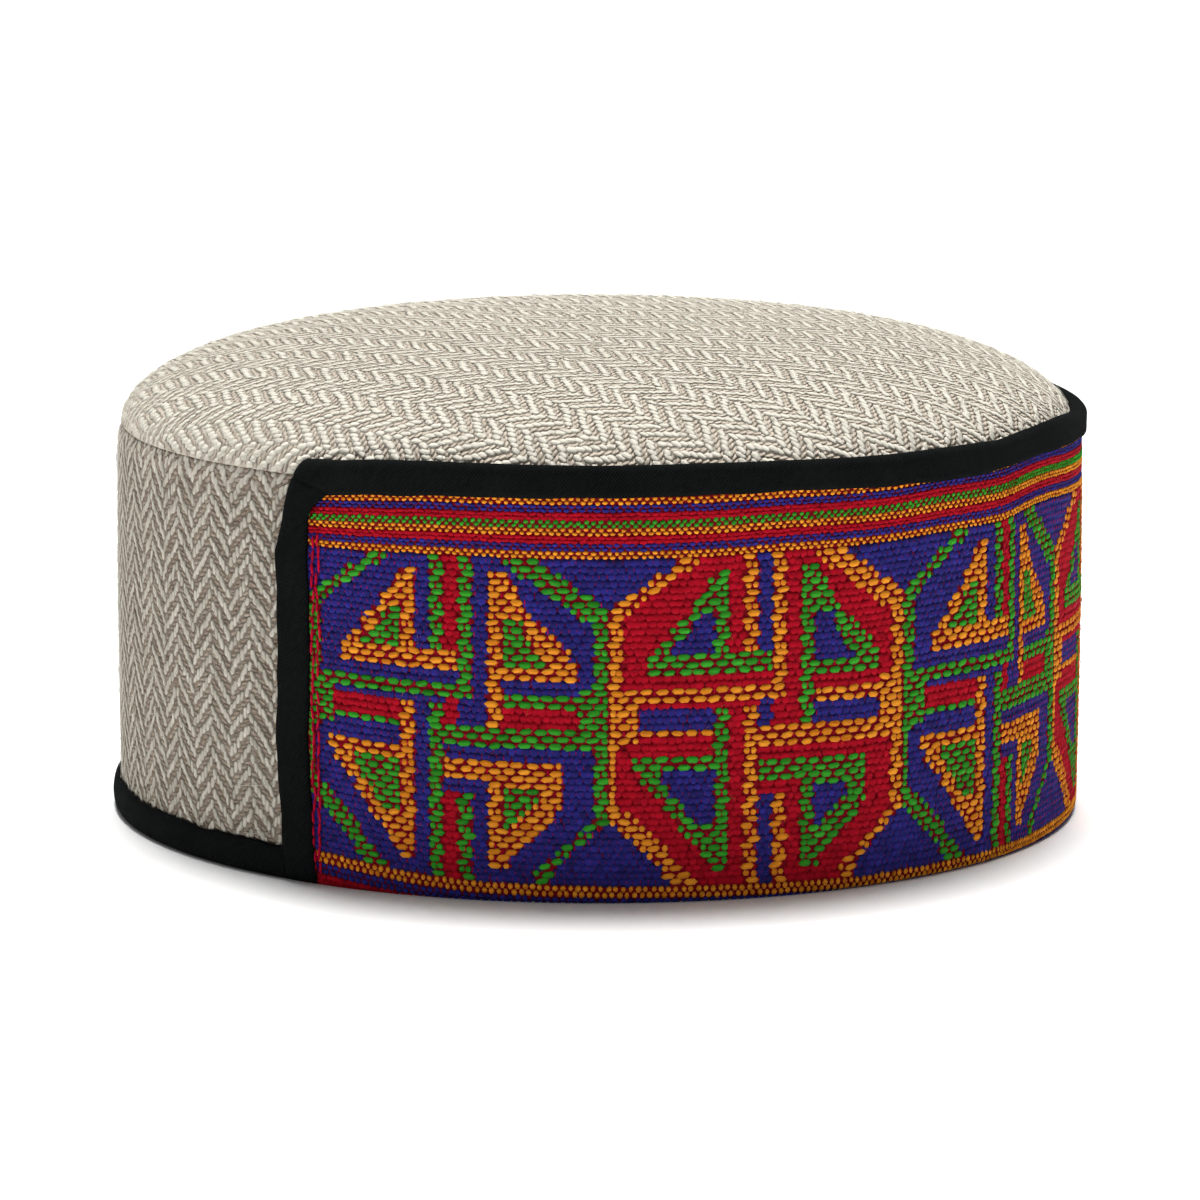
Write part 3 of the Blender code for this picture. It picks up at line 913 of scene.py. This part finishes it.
def build_cap():
    wall_cream = yarn_material("wall_cream_wool", "aca597", "d6d0c3", (1.3, 0.2), 1.0, 0.05, 0.16, 0.4)
    wall_brown = yarn_material("wall_brown_wool", "7f7061", "b6a897", (0.9, 0.2), 1.0, 0.05, 0.16, 0.5)
    # The crown is the same wool as the wall. Its cream, brown and ground are painted lighter than the wall's, as
    # painted light for the stronger light that falls on the top. The crown's ground is painted lighter as well, which
    # thins the shade between its floats.
    crown_cream_painted_lit = yarn_material("crown_cream_wool_painted_lit", "c7c2b4", "d4cfc2", (1.3, 0.2), 1.0, 0.05, 0.16, 0.4)
    crown_brown_painted_lit = yarn_material("crown_brown_wool_painted_lit", "ab9f90", "cbc0b0", (0.9, 0.2), 1.0, 0.05, 0.16, 0.5)
    wool_ground = ground_material("brown_wool_ground", "6f6154", "a59786", 0.9, 1.0, 0.0)
    crown_ground_painted_lit = ground_material("crown_wool_ground_painted_lit", "b0a596", "ccc2b3", 0.9, 1.0, 0.0)
    band_ground = ground_material("red_cotton_ground", "58060f", "90101e", 0.5, 0.95)
    tape = tape_material()
    yarns = {
        "red": yarn_material("red_wool_yarn", "8e0a1a", "bc1026", (1.0, 0.18), 1.0, 0.0, 0.16),
        "blue": yarn_material("blue_acrylic_yarn", "1a1846", "302e90", (1.2, 0.18), 0.95, 0.02, 0.14),
        "green": yarn_material("green_acrylic_yarn", "1c6614", "40b030", (1.3, 0.18), 0.9, 0.02, 0.14),
        "orange": yarn_material("orange_acrylic_yarn", "b85e0a", "ffa830", (1.3, 0.18), 0.9, 0.02, 0.14),
        "warp": yarn_material("red_cotton_warp", "60020f", "c40c34", (1.0, 0.15), 0.95, 0.0, 0.08),
    }
    wool_grain = make_grain(4, 3, 3.0)
    fine_grain = make_grain(3, 3, 2.3)
    flat_grain = make_grain(4, 3, 3.2)
    bold_grain = make_grain(5, 3, 2.2)
    needle = make_needle(2)

    made = []

    def keep(piece, slot, *nodes):
        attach(piece, "root")
        if nodes:
            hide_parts(*nodes)
        made.append(piece)

    wall = full_cloth("wall_cloth", wall_section, WOOL, wool_ground)
    crown = full_cloth("crown_cloth", crown_section, WOOL, crown_ground_painted_lit, rows=36)
    keep(wall, "wall_wool", "side_wall")
    keep(crown, "crown_wool", "crown")
    around_wall = FULL_TURN * WALL_RADIUS
    wall_yarns = wool_floats(
        "wall", (0.0, 0.0), (around_wall, WALL_TOP), wall_piece_inside, on_wall, (wool_grain, fine_grain), (wall_cream, wall_brown), 1.46,
    )
    reach = crown_section.length
    crown_yarns = wool_floats(
        "crown", (-reach, -reach), (reach, reach), crown_inside, on_crown, (wool_grain, fine_grain), (crown_cream_painted_lit, crown_brown_painted_lit), 1.66,
    )

    def band_place(u, v):
        down = (1 - v) * band_section.length
        cut = 8.0 * MM * np.clip(1 - down / (14 * MM), 0, 1)
        across = (u * 2 - 1) * (BAND_HALF_LENGTH - 2.4 * MM - cut)
        sag = ease(across, 1) * np.clip(1 - down / (20 * MM), 0, 1)
        return band_section.place(across / BAND_RADIUS, down + 0.8 * MM * (1 - v) - sag)
    band_size = (2 * BAND_HALF_LENGTH - 4.8 * MM, band_section.length)
    band = cloth_sheet("band_cloth", 120, 44, band_place, band_size, BAND_CLOTH, band_ground)
    keep(band, "band_weave", "front_band")
    field = {name: [] for name in (*COLOURS, "warp")}
    band_floats(field)
    selvedge_floats(field)
    borders = {name: [] for name in COLOURS}
    border_floats(borders, TOP_BORDER, TOP_BORDER_HEIGHTS)
    border_floats(borders, FOOT_BORDER, FOOT_BORDER_HEIGHTS)
    grains = {"red": flat_grain, "blue": flat_grain, "green": bold_grain, "orange": bold_grain, "warp": fine_grain}
    band_yarns = []
    for name, batches in field.items():
        band_yarns.append(yarn_floats(f"band_field_{name}", batches, grains[name], on_band, yarns[name]))
    for name, batches in borders.items():
        band_yarns.append(yarn_floats(f"band_border_{name}", batches, flat_grain, on_band, yarns[name]))

    roots = np.stack([
        draw.uniform(BAND_HALF_ANGLE + 0.02, FULL_TURN - BAND_HALF_ANGLE - 0.02, 4400) * WALL_RADIUS,
        draw.uniform(REAR_TAPE_TOP, WALL_TOP, 4400),
    ], axis=1)
    wall_fuzz = hairs("wall_fuzz", needle, on_wall, roots, 2.6 * MM, 0.07 * MM, 0.55 * MM, wall_cream)
    spread = draw.uniform(-reach, reach, (6000, 2))
    spread = spread[np.hypot(*spread.T) < reach - 2 * MM]
    crown_fuzz = hairs("crown_fuzz", needle, on_crown, spread, 2.6 * MM, 0.07 * MM, 0.5 * MM, crown_cream_painted_lit)

    # Two longer hairs near the left end of the rear tape
    ends = np.array([[FULL_TURN * WALL_RADIUS - BAND_HALF_LENGTH - 13 * MM, 15 * MM],
                     [FULL_TURN * WALL_RADIUS - BAND_HALF_LENGTH - 9 * MM, 7 * MM]])
    loose = hairs("wall_loose_hairs", make_needle(14), on_wall, ends, 16 * MM, 0.2 * MM, 1.1 * MM, crown_cream_painted_lit,
                  tone=1.0, headings=(-0.3, 0.3), curl=0.4)
    for piece in wall_yarns + [wall_fuzz, loose]:
        keep(piece, "wall_wool")
    for piece in crown_yarns + [crown_fuzz]:
        keep(piece, "crown_wool")

    for name, count in (("red", 1600), ("blue", 1200), ("green", 300), ("orange", 300)):
        spots = np.stack([
            draw.uniform(-BAND_HALF_LENGTH + 9 * MM, BAND_HALF_LENGTH - 9 * MM, 5 * count),
            draw.uniform(FIELD_FOOT, FIELD_TOP, 5 * count),
        ], axis=1)
        spots = spots[chart(*spots.T) == COLOURS.index(name)][:count]
        band_yarns.append(hairs(f"band_fuzz_{name}", needle, on_band, spots, 2.0 * MM, 0.06 * MM, 0.6 * MM, yarns[name]))
    for piece in band_yarns:
        keep(piece, "band_weave")

    top, top_size = top_tape(tape)
    left, end_size = end_tape("band_end_tape_left", -1, tape)
    right, _ = end_tape("band_end_tape_right", 1, tape)
    left_corner = folded_corner("band_corner_left", -1, tape)
    right_corner = folded_corner("band_corner_right", 1, tape)
    keep(left_corner, "black_tape")
    keep(right_corner, "black_tape")
    rear, rear_size = rear_tape(tape)
    keep(top, "black_tape", "band_top_binding")
    keep(left, "black_tape", "band_end_binding_left")
    keep(right, "black_tape", "band_end_binding_right")
    keep(rear, "black_tape", "rim_binding")


bpy.context.scene.view_settings.view_transform = "Standard"
camera()
stage_and_light()
build_cap()
